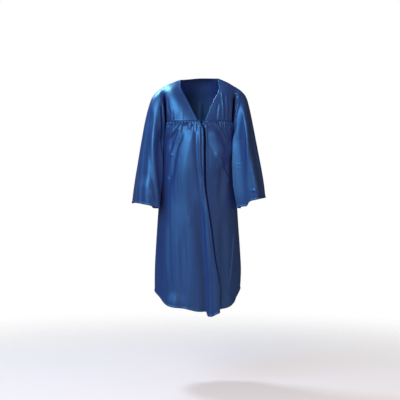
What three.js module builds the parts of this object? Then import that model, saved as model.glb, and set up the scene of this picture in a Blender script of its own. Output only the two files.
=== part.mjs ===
// A child's graduation gown in the hollow shape it takes when worn, arms hanging.
// Millimetres, +Z up. The front faces -Y and the wearer's left is at +X.
// The origin is the middle of the neck opening, level with the neck ends of the shoulder seams.

import * as THREE from 'three';

// Driving sizes
const CLOTH_WALL = 1.5;
const SEAM_GAP = 0.3;
const NECK_HALF_WIDTH = 68;
const NECK_RIGHT_Z = -5;
const NECK_LEFT_Z = 0;
const SHOULDER_TIP_X = 131;
const SHOULDER_TIP_Z = -31;
const YOKE_SEAM_Z = -165;
const UNDERARM_Z = -228;
const ARMHOLE_HALF_DEPTH = 60;
const RIGHT = -1;
const LEFT = 1;

// Level sections of the body: half width, reach to the front and back, sideways shift and squareness
const BODY_SECTIONS = [
  { z: -165, halfWidth: 134, front: 106, back: 100, centreX: 0, square: 2.5 },
  { z: -228, halfWidth: 133, front: 112, back: 106, centreX: -1, square: 2.4 },
  { z: -350, halfWidth: 138, front: 118, back: 113, centreX: -3, square: 2.25 },
  { z: -480, halfWidth: 145.5, front: 122, back: 119, centreX: -6, square: 2.15 },
  { z: -634, halfWidth: 155.5, front: 126, back: 125, centreX: -6, square: 2.1 },
  { z: -708, halfWidth: 159, front: 128, back: 128, centreX: -6, square: 2.05 },
  { z: -790, halfWidth: 157, front: 129, back: 130, centreX: -8, square: 2 },
  { z: -880, halfWidth: 150, front: 128, back: 128, centreX: -8, square: 2 },
];

// Hem height by the angle round the body from the side seam: 90 is the middle of the front or back
const HEM_FRONT_RIGHT = [
  { degrees: 0, z: -784 },
  { degrees: 20, z: -794 },
  { degrees: 33, z: -808 },
  { degrees: 49, z: -830 },
  { degrees: 74, z: -839 },
  { degrees: 90, z: -848 },
  { degrees: 125, z: -850 },
];
const HEM_FRONT_LEFT = [
  { degrees: 0, z: -776 },
  { degrees: 14, z: -786 },
  { degrees: 30, z: -812 },
  { degrees: 40, z: -831 },
  { degrees: 52, z: -840 },
  { degrees: 75, z: -843 },
  { degrees: 105, z: -843 },
];
const HEM_BACK = [
  { degrees: 0, z: -784 },
  { degrees: 25, z: -800 },
  { degrees: 50, z: -832 },
  { degrees: 90, z: -846 },
  { degrees: 130, z: -832 },
  { degrees: 155, z: -798 },
  { degrees: 180, z: -776 },
];

// Where the free edges of the two fronts run: the right front lies over the left front
const OVER_EDGE = [
  { z: -165, x: 3.5 },
  { z: -176, x: 5 },
  { z: -196, x: 14 },
  { z: -300, x: 16 },
  { z: -400, x: 18 },
  { z: -450, x: 25 },
  { z: -557, x: 41 },
  { z: -671, x: 55 },
  { z: -771, x: 71 },
  { z: -870, x: 69 },
];
const UNDER_EDGE = [
  { z: -165, x: 11 },
  { z: -174, x: 10.5 },
  { z: -205, x: -12 },
  { z: -400, x: -10 },
  { z: -560, x: 5 },
  { z: -760, x: 28 },
  { z: -880, x: 28 },
];

// The overlap: how far the left front tucks in behind, and how proud the right front stands
const OVERLAP = [
  { z: -167, tuck: 0, lift: 0 },
  { z: -180, tuck: 9, lift: 1.5 },
  { z: -215, tuck: 12, lift: 2.5 },
  { z: -390, tuck: 12, lift: 2.5 },
  { z: -460, tuck: 12, lift: 4 },
  { z: -880, tuck: 12, lift: 6 },
];
const TUCK_START = 8;
const TUCK_RUN = 12;
const LIFT_RUN = 30;
const FLAP_DIP = 17;
const FLAP_STEP_X = 32;
const FLAP_STEP_RUN = 6;
const FLAP_CORNER_RISE = 0.75;
const FLAP_FROM_Z = -690;
const FLAP_TO_Z = -849;
const BELOW_HEM_Z = -880;

// Broad folds of the body panels. Places run from 0 at the side to 1 at the free edge (back: side to side).
const FRONT_RIGHT_FOLDS = [
  { top: 0.1, bottom: 0.06, halfWidth: 0.1, depth: -5, from: -190, to: -520 },
  { top: 0.58, bottom: 0.27, halfWidth: 0.06, depth: 6, from: -166, to: -262 },
  { top: 0.54, bottom: 0.4, halfWidth: 0.09, depth: -4, from: -185, to: -320 },
  { top: 0.92, bottom: 0.55, halfWidth: 0.14, depth: 9, from: -166, to: -520 },
  { top: 0.7, bottom: 0.36, halfWidth: 0.09, depth: -5, from: -180, to: -480 },
  { top: 0.92, bottom: 0.88, halfWidth: 0.06, depth: -3, from: -180, to: -470 },
  { top: 0.98, bottom: 0.99, halfWidth: 0.05, depth: 4, from: -172, to: -410 },
  { top: 0.37, bottom: 0.36, halfWidth: 0.1, depth: 5, from: -500, to: -880 },
  { top: 0.66, bottom: 0.57, halfWidth: 0.1, depth: -3, from: -540, to: -880 },
  { top: 0.91, bottom: 0.84, halfWidth: 0.1, depth: -7, from: -430, to: -880 },
];
const FRONT_LEFT_FOLDS = [
  { top: 0.1, bottom: 0.05, halfWidth: 0.1, depth: -4, from: -190, to: -430 },
  { top: 0.7, bottom: 0.42, halfWidth: 0.05, depth: 4, from: -166, to: -262 },
  { top: 0.74, bottom: 0.62, halfWidth: 0.09, depth: 5, from: -185, to: -300 },
  { top: 0.66, bottom: 0.3, halfWidth: 0.06, depth: 4, from: -290, to: -405 },
  { top: 0.5, bottom: 0.7, halfWidth: 0.12, depth: -5, from: -210, to: -540 },
  { top: 0.3, bottom: 0.58, halfWidth: 0.06, depth: 4, from: -530, to: -820 },
  { top: 0.62, bottom: 0.7, halfWidth: 0.1, depth: -4, from: -470, to: -880 },
];
const BACK_FOLDS = [
  { top: 0.22, bottom: 0.16, halfWidth: 0.08, depth: 7, from: -175, to: -880 },
  { top: 0.34, bottom: 0.3, halfWidth: 0.07, depth: -6, from: -185, to: -880 },
  { top: 0.44, bottom: 0.42, halfWidth: 0.07, depth: 7, from: -175, to: -880 },
  { top: 0.55, bottom: 0.56, halfWidth: 0.07, depth: -7, from: -190, to: -880 },
  { top: 0.66, bottom: 0.69, halfWidth: 0.08, depth: 7, from: -175, to: -880 },
  { top: 0.79, bottom: 0.85, halfWidth: 0.07, depth: -5, from: -190, to: -880 },
];

// Gathers: small ridges that start at the yoke seam, from the armhole towards the middle
const FRONT_GATHERS = { count: 7, first: 0.07, last: 0.64, depth: 4.6, shortest: 40, longest: 88 };
const BACK_GATHERS = { count: 13, first: 0.12, last: 0.88, depth: 4.2, shortest: 45, longest: 88 };
const GATHER_COLUMNS = [-0.5, -0.25, 0, 0.25];
const GATHER_SHARE = 0.5;
const SEAM_HOLD = 0.3;
const GATHER_RISE = 16;

// Rows of the body panels: drops from the yoke seam to the underarm, then shares of the rest to the hem
const ROW_DROPS = [0, 4, 10, 18, 28, 43, 63];
const ROW_SHARES = [0.05, 0.12, 0.2, 0.29, 0.39, 0.5, 0.605, 0.71, 0.81, 0.895, 0.96, 1];
const FINE_ROWS = 8;
const FRONT_COLUMNS = { beforeGathers: 1, afterGathers: 6, below: 20 };
const BACK_COLUMNS = { beforeGathers: 2, afterGathers: 2, below: 26 };

// Neck edges, from near the neck end of a shoulder seam
const V_EDGE_RIGHT = [
  { x: -67, y: -44, z: -38 },
  { x: -39, y: -82, z: -96 },
];
const V_EDGE_LEFT = [
  { x: 70, y: -46, z: -48 },
  { x: 49, y: -82, z: -94 },
];
const V_GAP = 25;
const V_POINT_X = 7.2;
const BACK_NECK = [
  { x: -47, y: 46, z: 2 },
  { x: 0, y: 62, z: 8 },
  { x: 47, y: 46, z: 6 },
];
const SHOULDER_BOW = 3;
const YOKE_BULGE = 5;
const BACK_YOKE_BULGE = 17;
const YOKE_FRONT_GRID = { columns: 12, rows: 9 };
const YOKE_BACK_GRID = { columns: 28, rows: 8 };
const YOKE_BACK_NECK_SHARE = 0.5;

// Sleeve sections: how far out and in each ring reaches, its half depth front to back, its forward
// shift, how far its front swings towards the body, and the reach of the fold that lies in front
// of the body
const SLEEVE_RIGHT_RINGS = [
  { t: 0, outX: 131, outZ: -31, inX: 133, inZ: -228, depth: 60, forward: 0, swing: 0, fold: 0 },
  { t: 0.09, outX: 155.5, outZ: -51, inX: 137.5, inZ: -238, depth: 63, forward: 2, swing: 0, fold: 6 },
  { t: 0.18, outX: 174.5, outZ: -75, inX: 138, inZ: -249, depth: 66, forward: 5, swing: 0, fold: 10 },
  { t: 0.28, outX: 188, outZ: -114, inX: 138.5, inZ: -264, depth: 68, forward: 10, swing: 0, fold: 12 },
  { t: 0.38, outX: 199, outZ: -161, inX: 139, inZ: -286, depth: 70, forward: 15, swing: 0, fold: 12 },
  { t: 0.5, outX: 209.5, outZ: -218, inX: 141, inZ: -318, depth: 72, forward: 20, swing: 3, fold: 13 },
  { t: 0.62, outX: 220, outZ: -278, inX: 144, inZ: -356, depth: 74, forward: 25, swing: 8, fold: 14 },
  { t: 0.75, outX: 230, outZ: -345, inX: 148, inZ: -402, depth: 76, forward: 31, swing: 14, fold: 15 },
  { t: 0.88, outX: 237, outZ: -408, inX: 151.5, inZ: -445, depth: 77, forward: 37, swing: 20, fold: 15 },
  { t: 1, outX: 242, outZ: -460, inX: 154.5, inZ: -480, depth: 77, forward: 41, swing: 24, fold: 14 },
];
const SLEEVE_LEFT_RINGS = [
  { t: 0, outX: 131, outZ: -31, inX: 133, inZ: -228, depth: 60, forward: 0, swing: 0, fold: 0 },
  { t: 0.09, outX: 156, outZ: -51, inX: 136, inZ: -238, depth: 63, forward: 5, swing: 2, fold: 5 },
  { t: 0.18, outX: 172.5, outZ: -74, inX: 137, inZ: -249, depth: 66, forward: 12, swing: 4, fold: 15 },
  { t: 0.28, outX: 183.5, outZ: -112, inX: 136.5, inZ: -264, depth: 68, forward: 18, swing: 6, fold: 23 },
  { t: 0.38, outX: 193.5, outZ: -161, inX: 136.5, inZ: -286, depth: 70, forward: 21, swing: 6, fold: 26 },
  { t: 0.5, outX: 203.5, outZ: -218, inX: 137, inZ: -318, depth: 72, forward: 24, swing: 6, fold: 29 },
  { t: 0.62, outX: 214.5, outZ: -278, inX: 139, inZ: -356, depth: 74, forward: 27, swing: 6, fold: 31 },
  { t: 0.75, outX: 227, outZ: -345, inX: 142, inZ: -400, depth: 76, forward: 30, swing: 6, fold: 31.5 },
  { t: 0.88, outX: 235, outZ: -396, inX: 146, inZ: -434, depth: 77, forward: 33, swing: 6, fold: 28 },
  { t: 1, outX: 240, outZ: -441, inX: 150, inZ: -463, depth: 77, forward: 34, swing: 6, fold: 25 },
];
const SLEEVE_SQUARE = 2.2;
const FRONT_FOLD_RIGHT = { degrees: 146, halfWidth: 36 };
const FRONT_FOLD_LEFT = { degrees: 124, halfWidth: 44 };
const ARMHOLE_FADE = 0.2;

// Folds along the sleeves. Degrees round the ring: 0 outer, 90 front, 180 inner, 270 back. Below the
// elbow a fold drifts round the ring on its way to the cuff.
const SLEEVE_RIGHT_FOLDS = [
  { degrees: 58, drift: 0, halfWidth: 42, depth: -10, from: 0.08, to: 1.1 },
  { degrees: 100, drift: 32, halfWidth: 22, depth: 11, from: 0.1, to: 1.1 },
  { degrees: 130, drift: 26, halfWidth: 22, depth: -11, from: 0.06, to: 1.1 },
  { degrees: 250, drift: 0, halfWidth: 24, depth: 6, from: 0.2, to: 1.1 },
  { degrees: 290, drift: 0, halfWidth: 20, depth: -5, from: 0.3, to: 1.1 },
  { degrees: 325, drift: 0, halfWidth: 22, depth: 4, from: 0.4, to: 1.1 },
];
const SLEEVE_LEFT_FOLDS = [
  { degrees: 20, drift: 0, halfWidth: 24, depth: 4, from: 0.3, to: 1.1 },
  { degrees: 45, drift: 0, halfWidth: 18, depth: -4, from: 0.25, to: 1.1 },
  { degrees: 76, drift: 0, halfWidth: 26, depth: 17, from: 0.1, to: 1.1 },
  { degrees: 112, drift: 0, halfWidth: 24, depth: -8, from: 0.12, to: 1.1 },
  { degrees: 240, drift: 0, halfWidth: 24, depth: 6, from: 0.2, to: 1.1 },
  { degrees: 278, drift: 0, halfWidth: 20, depth: -6, from: 0.25, to: 1.1 },
  { degrees: 318, drift: 0, halfWidth: 22, depth: 4, from: 0.35, to: 1.1 },
];
// Lobes of the cuff that hang below its ring or rise above it; the edge is the share of their rise
const CUFF_RIGHT_LOBES = [{ degrees: 250, halfWidth: 70, drop: -9, edge: 0.35 }];
const CUFF_LEFT_LOBES = [
  { degrees: 136, halfWidth: 48, drop: 17, edge: 0.12 },
  { degrees: 250, halfWidth: 68, drop: -9, edge: 0.35 },
];
const FOLD_DRIFT_FROM = 0.4;
const CUFF_LOBE_FROM = 0.55;
const SLEEVE_ROWS = 14;
const SLEEVE_COLUMNS = 36;

// Hook and eye at the point of the V
const WIRE_RADIUS = 0.55;
const EYE_RADIUS = 3;
const CLOSURE_Z = -169;
const WIRE_SIDES = 6;

// Curves and tables

const lerp = THREE.MathUtils.lerp;
const smooth = (from, to, value) => THREE.MathUtils.smoothstep(value, from, to);
const signedPower = (value, power) => Math.sign(value) * Math.abs(value) ** power;

// A ridge of height 1 at the middle that falls smoothly to 0 at one half width
function ridge(offset, halfWidth) {
  const share = Math.abs(offset) / halfWidth;
  return share < 1 ? 0.5 + 0.5 * Math.cos(Math.PI * share) : 0;
}

// One column of a table at a place along its key column, on a smooth curve through the rows
function column(table, key, name, place) {
  const falling = table[0][key] > table[table.length - 1][key];
  const before = (row) => (falling ? row[key] > place : row[key] < place);
  const next = THREE.MathUtils.clamp(table.findIndex((row) => !before(row)), 1, table.length - 1);
  const i = table.some((row) => !before(row)) ? next : table.length - 1;
  const slope = (k) => {
    const low = table[Math.max(k - 1, 0)];
    const high = table[Math.min(k + 1, table.length - 1)];
    return (high[name] - low[name]) / (high[key] - low[key]);
  };
  const [a, b] = [table[i - 1], table[i]];
  const span = b[key] - a[key];
  const s = THREE.MathUtils.clamp((place - a[key]) / span, 0, 1);
  const [s2, s3] = [s * s, s * s * s];
  return (
    (2 * s3 - 3 * s2 + 1) * a[name] +
    (s3 - 2 * s2 + s) * span * slope(i - 1) +
    (3 * s2 - 2 * s3) * b[name] +
    (s3 - s2) * span * slope(i)
  );
}

function bodySection(z) {
  const at = (name) => column(BODY_SECTIONS, 'z', name, z);
  return {
    halfWidth: at('halfWidth'),
    front: at('front'),
    back: at('back'),
    centreX: at('centreX'),
    square: at('square'),
  };
}

// A point of the body at one level. The angle runs from 0 at the given side, through a quarter turn
// at the middle of the front (facing -1) or of the back (facing 1).
function bodyPoint(side, facing, z, angle) {
  const section = bodySection(z);
  const reach = facing < 0 ? section.front : section.back;
  const power = 2 / section.square;
  return new THREE.Vector3(
    section.centreX + side * section.halfWidth * signedPower(Math.cos(angle), power),
    facing * reach * signedPower(Math.sin(angle), power),
    z,
  );
}

function angleAtX(side, z, x) {
  const section = bodySection(z);
  const share = THREE.MathUtils.clamp((side * (x - section.centreX)) / section.halfWidth, -1, 1);
  return Math.acos(signedPower(share, section.square / 2));
}

// Armhole

const ARMHOLE_MIDDLE_Z = (SHOULDER_TIP_Z + UNDERARM_Z) / 2;
const ARMHOLE_HALF_HEIGHT = (SHOULDER_TIP_Z - UNDERARM_Z) / 2;

function armholeDepth(z) {
  const share = (z - ARMHOLE_MIDDLE_Z) / ARMHOLE_HALF_HEIGHT;
  return ARMHOLE_HALF_DEPTH * Math.sqrt(Math.max(0, 1 - share * share));
}

// Where a body panel starts at its side: the armhole above the underarm, the side seam below it
function sideAngle(facing, z) {
  const section = bodySection(z);
  const reach = facing < 0 ? section.front : section.back;
  const fromSeam = z > UNDERARM_Z ? armholeDepth(z) : 0;
  return Math.asin((Math.max(fromSeam, SEAM_GAP / 2) / reach) ** (section.square / 2));
}

function armholePoint(side, facing, z) {
  if (z <= YOKE_SEAM_Z) return bodyPoint(side, facing, z, sideAngle(facing, z));
  const corner = bodyPoint(side, facing, YOKE_SEAM_Z, sideAngle(facing, YOKE_SEAM_Z));
  const rise = (z - YOKE_SEAM_Z) / (SHOULDER_TIP_Z - YOKE_SEAM_Z);
  return new THREE.Vector3(
    lerp(corner.x, side * SHOULDER_TIP_X, rise ** 1.5),
    facing * Math.max(armholeDepth(z), SEAM_GAP / 2),
    z,
  );
}

// Cloth walls

// Joins two rows of points, each with its own places from 0 to 1, into triangles
function joinRows(upper, lower, triangles) {
  let [i, j] = [0, 0];
  while (i < upper.length - 1 || j < lower.length - 1) {
    const upperNext = i < upper.length - 1 ? upper[i + 1].place + upper[i].place : Infinity;
    const lowerNext = j < lower.length - 1 ? lower[j + 1].place + lower[j].place : Infinity;
    if (upperNext <= lowerNext) {
      triangles.push([upper[i].index, lower[j].index, upper[i + 1].index]);
      i += 1;
    } else {
      triangles.push([upper[i].index, lower[j].index, lower[j + 1].index]);
      j += 1;
    }
  }
}

// Rows of { place, point, flat } become a closed wall of cloth. A flat axis keeps that edge of the wall
// in one plane, so that two sewn pieces stay the seam gap apart. A ring's last point is its first again.
function clothWall(rows, isRing = false) {
  const points = [];
  const flats = [];
  const indexed = rows.map((row) => {
    const made = row.map((entry) => {
      points.push(entry.point);
      flats.push(entry.flat);
      return { place: entry.place, index: points.length - 1 };
    });
    return isRing ? [...made, { place: 1, index: made[0].index }] : made;
  });
  const triangles = [];
  for (let k = 0; k + 1 < indexed.length; k += 1) joinRows(indexed[k], indexed[k + 1], triangles);

  const normals = points.map(() => new THREE.Vector3());
  for (const [a, b, c] of triangles) {
    const ab = points[b].clone().sub(points[a]);
    const normal = ab.cross(points[c].clone().sub(points[a]));
    for (const k of [a, b, c]) normals[k].add(normal);
  }
  const position = [];
  for (const side of [0.5, -0.5]) {
    points.forEach((point, k) => {
      const normal = normals[k].clone();
      if (flats[k]) for (const axis of flats[k]) normal[axis] = 0;
      position.push(...point.clone().addScaledVector(normal.normalize(), side * CLOTH_WALL).toArray());
    });
  }

  const inner = points.length;
  const index = [];
  const edges = new Set();
  for (const [a, b, c] of triangles) {
    index.push(a, b, c, inner + c, inner + b, inner + a);
    for (const edge of [`${a} ${b}`, `${b} ${c}`, `${c} ${a}`]) edges.add(edge);
  }
  for (const edge of edges) {
    const [a, b] = edge.split(' ').map(Number);
    if (edges.has(`${b} ${a}`)) continue;
    index.push(b, a, inner + a, b, inner + a, inner + b);
  }
  const geometry = new THREE.BufferGeometry();
  geometry.setAttribute('position', new THREE.Float32BufferAttribute(position, 3));
  geometry.setIndex(index);
  geometry.computeVertexNormals();
  return geometry;
}

// Body panels

function foldHeight(folds, place, z) {
  let height = 0;
  for (const fold of folds) {
    const run = THREE.MathUtils.clamp((z - fold.from) / (fold.to - fold.from), 0, 1);
    const ends = smooth(0, 0.22, run) * (fold.to <= BELOW_HEM_Z ? 1 : 1 - smooth(0.6, 1, run));
    height += fold.depth * ends * ridge(place - lerp(fold.top, fold.bottom, run), fold.halfWidth);
  }
  return height;
}

const gatherSpacing = (gathers) => (gathers.last - gathers.first) / (gathers.count - 1);
const gatherShift = (k) => 0.16 * Math.sin(2.4 * k + 0.7);

function gatherHeight(gathers, place, z) {
  const drop = YOKE_SEAM_Z - z;
  const spacing = gatherSpacing(gathers);
  let height = 0;
  for (let k = 0; k < gathers.count; k += 1) {
    const middle = gathers.first + spacing * (k + gatherShift(k));
    const length = lerp(gathers.shortest, gathers.longest, 0.5 + 0.5 * Math.sin(4.1 * k));
    const held = lerp(SEAM_HOLD, 1, smooth(0, GATHER_RISE, drop));
    const fading = 1 - smooth(0.25 * length, length, drop);
    const halfWidth = spacing * GATHER_SHARE * (1 + (0.6 * drop) / length);
    const depth = gathers.depth * (0.8 + gatherShift(k));
    height += depth * held * fading * ridge(place - middle, halfWidth);
  }
  return height;
}

// Places across the gathered top, with columns on the sides and crest of each gather
function gatherPlaces(gathers, columns) {
  const spacing = gatherSpacing(gathers);
  const start = gathers.first - spacing / 2;
  const end = gathers.last + spacing / 2;
  const places = [];
  for (let i = 0; i < columns.beforeGathers; i += 1) places.push((start * i) / columns.beforeGathers);
  for (let k = 0; k < gathers.count; k += 1) {
    for (const part of GATHER_COLUMNS) {
      const shift = gatherShift(k) * (1 - 2 * Math.abs(part));
      places.push(gathers.first + spacing * (k + part + shift));
    }
  }
  for (let i = 0; i <= columns.afterGathers; i += 1) places.push(lerp(end, 1, i / columns.afterGathers));
  return places;
}

// The outward direction of the body at an angle, level with the floor
function bodyOutward(side, facing, z, angle) {
  const step = 0.01;
  const along = bodyPoint(side, facing, z, angle + step).sub(bodyPoint(side, facing, z, angle - step));
  const outward = new THREE.Vector3(along.y, -along.x, 0).normalize();
  return outward.multiplyScalar(side * facing);
}

// A body panel: pointAt(place, z, angle) gives its cloth's middle, angles(z) its start and end angle
function bodyPanel({ columns, gathers, hem, angles, pointAt, endsAtSide }) {
  const gathered = gatherPlaces(gathers, columns);
  const below = Array.from({ length: columns.below + 1 }, (_, i) => i / columns.below);
  const hemAngles = angles(hem[0].z);
  const top = YOKE_SEAM_Z - SEAM_GAP / 2;
  const rowCount = ROW_DROPS.length + ROW_SHARES.length;
  const rows = Array.from({ length: rowCount }, (_, k) =>
    (k < FINE_ROWS ? gathered : below).map((place) => {
      const degrees = THREE.MathUtils.radToDeg(lerp(hemAngles.start, hemAngles.end, place));
      const hemZ = column(hem, 'degrees', 'z', degrees);
      const z = k < ROW_DROPS.length
        ? top - ROW_DROPS[k]
        : lerp(top - ROW_DROPS.at(-1), hemZ, ROW_SHARES[k - ROW_DROPS.length]);
      const { start, end } = angles(z);
      const isSideSeam = z < UNDERARM_Z && (place === 0 || (place === 1 && endsAtSide));
      const flat = [...(k === 0 ? 'z' : ''), ...(isSideSeam ? 'y' : '')];
      return { place, point: pointAt(place, z, lerp(start, end, place)), flat };
    }),
  );
  return clothWall(rows);
}

function frontPanel({ side, edge, hem, folds, shaped }) {
  const angles = (z) => ({
    start: sideAngle(-1, z),
    end: angleAtX(side, z, column(edge, 'z', 'x', z)),
  });
  const pointAt = (place, z, angle) => {
    const point = bodyPoint(side, -1, z, angle);
    const heldAtSide = smooth(0, 0.08, place);
    const height = gatherHeight(FRONT_GATHERS, place, z) + foldHeight(folds, place, z);
    const outward = bodyOutward(side, -1, z, angle);
    return shaped(point.addScaledVector(outward, height * heldAtSide), outward);
  };
  const [columns, gathers] = [FRONT_COLUMNS, FRONT_GATHERS];
  return bodyPanel({ columns, gathers, hem, angles, pointAt, endsAtSide: false });
}

// The right front stands proud by its free edge, and its corner hangs low in a step of the hem
function overFront() {
  const shaped = (point, outward) => {
    const { x, z } = point;
    const fromEdge = column(OVER_EDGE, 'z', 'x', z) - x;
    const lift = column(OVERLAP, 'z', 'lift', z) * (1 - smooth(0, LIFT_RUN, fromEdge - LIFT_RUN / 2));
    const flap = smooth(FLAP_STEP_X - FLAP_STEP_RUN, FLAP_STEP_X, x);
    const corner = 1 - FLAP_CORNER_RISE * (1 - smooth(0, LIFT_RUN, fromEdge));
    point.addScaledVector(outward, lift);
    point.z -= FLAP_DIP * flap * corner * smooth(0, 1, (FLAP_FROM_Z - z) / (FLAP_FROM_Z - FLAP_TO_Z));
    return point;
  };
  return frontPanel({ side: RIGHT, edge: OVER_EDGE, hem: HEM_FRONT_RIGHT, folds: FRONT_RIGHT_FOLDS, shaped });
}

// The left front tucks in behind the right one
function underFront() {
  const shaped = (point, outward) => {
    const tuckFrom = column(OVER_EDGE, 'z', 'x', point.z) + TUCK_START;
    const tucked = smooth(0, TUCK_RUN, tuckFrom - point.x);
    return point.addScaledVector(outward, -column(OVERLAP, 'z', 'tuck', point.z) * tucked);
  };
  return frontPanel({ side: LEFT, edge: UNDER_EDGE, hem: HEM_FRONT_LEFT, folds: FRONT_LEFT_FOLDS, shaped });
}

function backPanel() {
  const angles = (z) => ({ start: sideAngle(1, z), end: Math.PI - sideAngle(1, z) });
  const pointAt = (place, z, angle) => {
    const heldAtSide = smooth(0, 0.06, Math.min(place, 1 - place));
    const height = gatherHeight(BACK_GATHERS, place, z) + foldHeight(BACK_FOLDS, place, z);
    const outward = bodyOutward(RIGHT, 1, z, angle);
    return bodyPoint(RIGHT, 1, z, angle).addScaledVector(outward, height * heldAtSide);
  };
  const [columns, gathers, hem] = [BACK_COLUMNS, BACK_GATHERS, HEM_BACK];
  return bodyPanel({ columns, gathers, hem, angles, pointAt, endsAtSide: true });
}

// Yokes

const toPoint = ({ x, y, z }) => new THREE.Vector3(x, y, z);

function shoulderPoint(side, facing, share) {
  const neckZ = side === RIGHT ? NECK_RIGHT_Z : NECK_LEFT_Z;
  return new THREE.Vector3(
    side * lerp(NECK_HALF_WIDTH, SHOULDER_TIP_X, share),
    (facing * SEAM_GAP) / 2,
    lerp(neckZ, SHOULDER_TIP_Z, share) + SHOULDER_BOW * Math.sin(Math.PI * share),
  );
}

// A patch between four edges: top(u) and bottom(u) across, first(v) and last(v) down
function patchPoint(edges, u, v) {
  const point = new THREE.Vector3();
  const add = (corner, share) => point.addScaledVector(corner, share);
  add(edges.top(u), 1 - v);
  add(edges.bottom(u), v);
  add(edges.first(v), 1 - u);
  add(edges.last(v), u);
  add(edges.top(0), -(1 - u) * (1 - v));
  add(edges.top(1), -u * (1 - v));
  add(edges.bottom(0), -(1 - u) * v);
  add(edges.bottom(1), -u * v);
  return point;
}

// A yoke lies on its patch and swells away from the body by bulge(u)
function yokeWall({ grid, edges, facing, bulge, isSeam }) {
  const rows = Array.from({ length: grid.rows + 1 }, (_, r) =>
    Array.from({ length: grid.columns + 1 }, (_, c) => {
      const [u, v] = [c / grid.columns, r / grid.rows];
      const point = patchPoint(edges, u, v);
      point.y += facing * bulge(u) * Math.sin(Math.PI * v);
      const flat = [...(r === grid.rows ? 'z' : ''), ...(r === 0 && isSeam(u) ? 'y' : '')];
      return { place: u, point, flat };
    }),
  );
  return clothWall(rows);
}

const yokeSeamAbove = YOKE_SEAM_Z + SEAM_GAP / 2;

function armholeEdge(side, facing) {
  return (v) => {
    const point = armholePoint(side, facing, lerp(SHOULDER_TIP_Z, YOKE_SEAM_Z, v));
    point.z = lerp(SHOULDER_TIP_Z, yokeSeamAbove, v);
    return point;
  };
}

function yokeFront(side, vTable) {
  const startAngle = angleAtX(side, YOKE_SEAM_Z, V_POINT_X + (side * V_GAP) / 2);
  const endAngle = sideAngle(-1, YOKE_SEAM_Z);
  const vCorner = bodyPoint(side, -1, YOKE_SEAM_Z, startAngle).setZ(yokeSeamAbove);
  const vEdge = new THREE.CatmullRomCurve3([shoulderPoint(side, -1, 0), ...vTable.map(toPoint), vCorner]);
  const edges = {
    top: (u) => shoulderPoint(side, -1, u),
    bottom: (u) => bodyPoint(side, -1, YOKE_SEAM_Z, lerp(startAngle, endAngle, u)).setZ(yokeSeamAbove),
    first: (v) => vEdge.getPointAt(v),
    last: armholeEdge(side, -1),
  };
  const bulge = (u) => YOKE_BULGE * Math.sin(Math.PI * u);
  return yokeWall({ grid: YOKE_FRONT_GRID, edges, facing: -1, bulge, isSeam: () => true });
}

function yokeBack() {
  const ends = [shoulderPoint(RIGHT, 1, 0), shoulderPoint(LEFT, 1, 0)];
  const neck = new THREE.CatmullRomCurve3([ends[0], ...BACK_NECK.map(toPoint), ends[1]]);
  const seamShare = (1 - YOKE_BACK_NECK_SHARE) / 2;
  const start = sideAngle(1, YOKE_SEAM_Z);
  const edges = {
    top: (u) => {
      if (u <= seamShare) return shoulderPoint(RIGHT, 1, 1 - u / seamShare);
      if (u >= 1 - seamShare) return shoulderPoint(LEFT, 1, 1 - (1 - u) / seamShare);
      return neck.getPointAt((u - seamShare) / YOKE_BACK_NECK_SHARE);
    },
    bottom: (u) => bodyPoint(RIGHT, 1, YOKE_SEAM_Z, lerp(start, Math.PI - start, u)).setZ(yokeSeamAbove),
    first: armholeEdge(RIGHT, 1),
    last: armholeEdge(LEFT, 1),
  };
  const bulge = (u) => YOKE_BULGE * Math.sin(Math.PI * u) + BACK_YOKE_BULGE * Math.sin(2 * Math.PI * u) ** 2;
  const isSeam = (u) => Math.min(u, 1 - u) <= seamShare;
  return yokeWall({ grid: YOKE_BACK_GRID, edges, facing: 1, bulge, isSeam });
}

// Sleeves

function roundDistance(degrees, middle) {
  return Math.abs(((degrees - middle + 540) % 360) - 180);
}

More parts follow.
